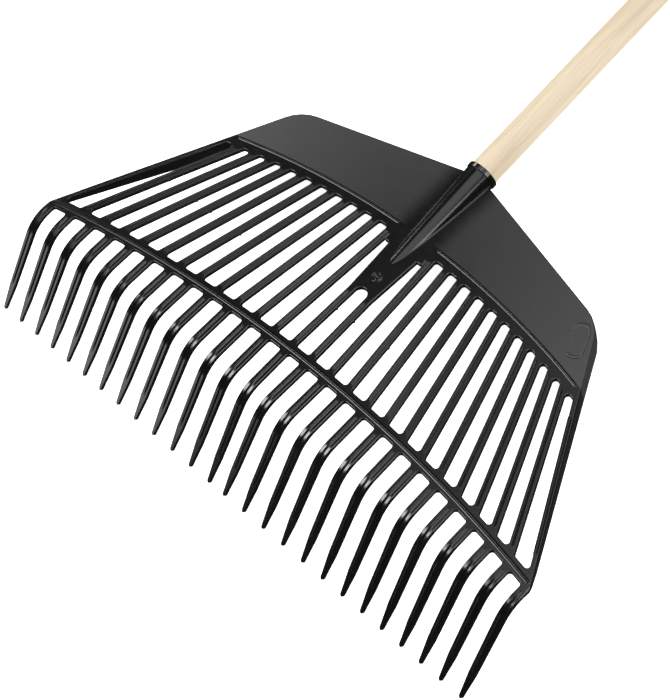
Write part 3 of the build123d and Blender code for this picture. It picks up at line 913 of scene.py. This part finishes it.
for index in range(TINES):
    stub_y = arc_y(middle(index) * TINE_PITCH, BAR_FRONT) - TINE_STUB
    flat = stub_y - flat_end_y
    blade_from = flat + BEND_R * BEND
    end = blade_from + blade_length
    lengths = [0.0] if flat < 0.5 else spread(0, flat, 15.0)[:-1]
    lengths += spread(flat, blade_from, 1.9)[:-1]
    lengths += spread(blade_from, end - POINT_LENGTH, 8.0)[:-1]
    lengths += spread(end - POINT_LENGTH, end - TINE_POINT_R, 3.0)[:-1]
    lengths += [end - TINE_POINT_R * (1 - sin(pi / 2 * k / 7)) for k in range(7)]
    lengths.append(end - 0.03)
    tine = Shell()
    path = [tine_station(index, stub_y, at) for at in lengths]
    sweep(tine, path, [tine_section(end - at) for at in lengths])
    ridge_end = blade_from + RIDGE_SHARE * blade_length + RIDGE_PAST
    lengths = ridge_lengths(RIDGE_GAP - TINE_STUB, ridge_end, RIDGE_RAMP, RIDGE_RUN_OUT, 1.9)
    path = [tine_station(index, stub_y, at) for at in lengths]
    ridge(tine, path, lengths, RIDGE_HALF_WIDTH, RIDGE_HEIGHT, RIDGE_RAMP, RIDGE_RUN_OUT)
    tine.piece(f"tine_body_{index + 1:02d}", "head_plastic", f"tine_{index + 1:02d}")

# ---------------------------------------------------------------- socket
AXIS = Vector((0, cos(HANDLE_RISE), sin(HANDLE_RISE)))
MOUTH = Vector((0, MOUTH_Y, MOUTH_Z))


def turned(shell, profile, segments=72):
    """Solid of revolution about the handle's axis from (along, radius, normal) rows."""
    square = AXIS.cross(Vector((1, 0, 0)))
    rings = []
    for at, radius, na, nr in profile:
        ring = []
        for k in range(segments):
            a = 2 * pi * k / segments
            out = Vector((1, 0, 0)) * cos(a) + square * sin(a)
            ring.append(shell.point(MOUTH + AXIS * at + out * radius, AXIS * na + out * nr))
        rings.append(ring)
    for ring, following in zip(rings, rings[1:]):
        shell.band(ring, following)
    shell.faces.append(tuple(reversed(rings[0])))
    shell.faces.append(tuple(rings[-1]))


def blend_arc(centre_x, centre_z, radius, start, end, steps):
    """Concave arc: points of a circle with the normal towards its centre."""
    out = []
    for k in range(steps + 1):
        a = start + (end - start) * k / steps
        place = (centre_x + radius * cos(a), centre_z + radius * sin(a))
        out.append((*place, -cos(a), -sin(a)))
    return out


def half_section(r, axis_above, fillet, steps=6, arc_steps=14):
    """Right half of a round form that rises from a flat face, from the face to the top."""
    lift = fillet - axis_above
    if r + axis_above < 0.05:
        count = steps + arc_steps
        return [(0.6 * (1 - k / count), -0.5, 0, 1) for k in range(count + 1)]
    foot_x = sqrt(max((r + fillet) ** 2 - lift**2, 0.01))
    meet = atan2(lift, foot_x)
    out = blend_arc(foot_x, fillet, fillet, -pi / 2, meet - pi, steps)
    for k in range(1, arc_steps + 1):
        a = meet + (pi / 2 - meet) * k / arc_steps
        out.append((r * cos(a), axis_above + r * sin(a), cos(a), sin(a)))
    return out


socket = Shell()
rings = []
for down in spread(3.5, SOCKET_LENGTH, 3.0) + [SOCKET_LENGTH + k for k in (1.3, 2.6, 3.4, 3.9)]:
    r = SOCKET_MOUTH_R - (SOCKET_MOUTH_R - SOCKET_NOSE_R) * down / SOCKET_LENGTH
    if down > SOCKET_LENGTH:
        over = (down - SOCKET_LENGTH) / SOCKET_NOSE_ROUND
        r = SOCKET_NOSE_R - SOCKET_NOSE_ROUND * (1 - sqrt(1 - over**2))
    centre = MOUTH - AXIS * down
    ease = min(1.0, max(0.0, (down - SOCKET_FILLET_RUN[0]) / SOCKET_FILLET_RUN[1]))
    fillet = 0.15 + SOCKET_FILLET * ease * ease * (3 - 2 * ease)
    above = half_section(r, centre.z, fillet)
    below = half_section(r, -centre.z - PLATE_T, fillet)
    ring = []
    for part, side, level, flip in (
        (above, 1, 0, 1),
        (above[-2::-1], -1, 0, 1),
        (below, -1, -PLATE_T, -1),
        (below[-2::-1], 1, -PLATE_T, -1),
    ):
        for u, w, nu, nw in part:
            place = (side * u, centre.y, level + flip * w)
            ring.append(socket.point(place, (side * nu, 0.06 * abs(nw), flip * nw)))
    rings.append(ring)
for ring, following in zip(rings, rings[1:]):
    socket.band(ring, following)
socket.faces.append(tuple(reversed(rings[0])))
socket.faces.append(tuple(rings[-1]))
turned(
    socket,
    [
        (-COLLAR_LENGTH, SOCKET_MOUTH_R - 0.6, -1, 0),
        (-COLLAR_LENGTH, COLLAR_R - 0.5, -1, 0.2),
        (-COLLAR_LENGTH + 0.15, COLLAR_R - 0.15, -0.7, 0.7),
        (-COLLAR_LENGTH + 0.5, COLLAR_R, 0, 1),
        (-0.7, COLLAR_R, 0, 1),
        (-0.2, COLLAR_R - 0.2, 0.7, 0.7),
        (0, COLLAR_R - 0.7, 1, 0),
        (0, HANDLE_R + 0.5, 1, 0),
        (-0.4, HANDLE_R + 0.25, 0.3, -0.8),
        (-3.0, HANDLE_R + 0.25, 0, -1),
    ],
)
socket.piece("socket_body", "head_plastic", "handle_socket")

# ---------------------------------------------------------------- handle
handle = Shell()
free_end = HANDLE_LENGTH - INSERT_LENGTH
profile = [(-INSERT_LENGTH, INSERT_END_R - 0.5, -1, 0), (0.5 - INSERT_LENGTH, INSERT_END_R, 0, 1)]
profile += [(at, HANDLE_R, 0, 1) for at in spread(0, free_end - HANDLE_END_ROUND, 60.0)]
for k in range(1, 9):
    a = pi / 2 * k / 8
    along_end = free_end - HANDLE_END_ROUND * (1 - sin(a))
    profile.append((along_end, HANDLE_R - HANDLE_END_ROUND * (1 - cos(a)), sin(a), cos(a)))
turned(handle, profile)
handle.piece("handle_shaft", "handle_wood", "handle")

# ---------------------------------------------------------------- fixing screw keeps its CAD mesh
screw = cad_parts["fixing_screw"]
if not screw.material_slots:
    screw.data.materials.append(MATERIALS["screw_steel"])
for held in screw.material_slots:
    held.material = MATERIALS["screw_steel"]

# ---------------------------------------------------------------- floor, lights and camera
floor_mesh = bpy.data.meshes.new("floor")
floor_half = 14.0
floor_corners = [(floor_half * x, floor_half * y, 0) for x, y in ((-1, -1), (1, -1), (1, 1), (-1, 1))]
floor_mesh.from_pydata(floor_corners, [], [(0, 1, 2, 3)])
floor = bpy.data.objects.new("floor", floor_mesh)
bpy.context.scene.collection.objects.link(floor)
floor.location.z = cad_box[0].z - 0.0005
floor.visible_glossy = False
paper, paper_shader, add, link = tree("pale_floor")
paper_shader.inputs["Base Color"].default_value = (0.92, 0.92, 0.92, 1)
paper_shader.inputs["Roughness"].default_value = 0.9
paper_shader.inputs["Specular IOR Level"].default_value = 0.0
paper_shader.inputs["Emission Color"].default_value = (1, 1, 1, 1)
paper_shader.inputs["Emission Strength"].default_value = 0.93
floor_mesh.materials.append(paper)


def softbox(name, place, size, strength, target=(0.0, -0.55, 0.0)):
    """Square area light, aimed at the head; strength is its brightness."""
    lamp = bpy.data.lights.new(name, "AREA")
    lamp.shape = "SQUARE"
    lamp.size = size
    lamp.energy = strength * pi * size * size
    thing = bpy.data.objects.new(name, lamp)
    thing.location = place
    thing.rotation_euler = (Vector(target) - Vector(place)).to_track_quat("-Z", "Y").to_euler()
    bpy.context.scene.collection.objects.link(thing)


softbox("key_light", (-1.0, -1.15, 2.0), 0.7, 14.0, (0.0, -0.8, 0.0))
softbox("top_light", (0.15, -0.35, 2.6), 0.9, 6.0, (0.0, -0.6, 0.0))
softbox("left_light", (-1.7, -0.15, 1.0), 0.6, 8.0)
softbox("right_light", (1.5, -0.15, 1.2), 0.9, 5.5)
softbox("front_light", (-1.66, -2.58, 0.5), 0.9, 2.4, (-0.2, -0.85, 0.0))

world = bpy.data.worlds.new("studio")
bpy.context.scene.world = world
world.use_nodes = True
wn, wl = world.node_tree.nodes, world.node_tree.links
ray = wn.new("ShaderNodeTexCoord")
towards = wn.new("ShaderNodeVectorMath")
towards.operation = "DOT_PRODUCT"
towards.inputs[1].default_value = Vector((0.1, 0.35, 0.93)).normalized()
glow = wn.new("ShaderNodeMapRange")
glow.interpolation_type = "SMOOTHSTEP"
glow.inputs["From Min"].default_value = 0.82
glow.inputs["From Max"].default_value = 0.93
glow.inputs["To Min"].default_value = 0.05
glow.inputs["To Max"].default_value = 1.6
wl.new(ray.outputs["Generated"], towards.inputs[0])
wl.new(towards.outputs["Value"], glow.inputs["Value"])
wl.new(glow.outputs["Result"], wn["Background"].inputs["Strength"])
wn["Background"].inputs["Color"].default_value = (1, 1, 1, 1)

eye = HEAD @ Vector((1007.5, -394.5, 1697.6))
look = (TURN @ Vector((-0.48868, 0.22540, -0.84284))).normalized()
right = (TURN @ Vector((0.68733, 0.69448, -0.21279))).normalized()
upward = right.cross(look)
camera = bpy.data.objects.new("camera", bpy.data.cameras.new("camera"))
camera.data.lens = 118.3
camera.data.shift_x = 0.001
camera.data.shift_y = 0.0008
camera.data.clip_start = 0.05
camera.data.clip_end = 60.0
basis = Matrix((right, upward, -look)).transposed().to_4x4()
camera.matrix_world = Matrix.Translation(eye) @ basis
bpy.context.scene.collection.objects.link(camera)
bpy.context.scene.camera = camera
bpy.context.scene.view_settings.view_transform = "Standard"
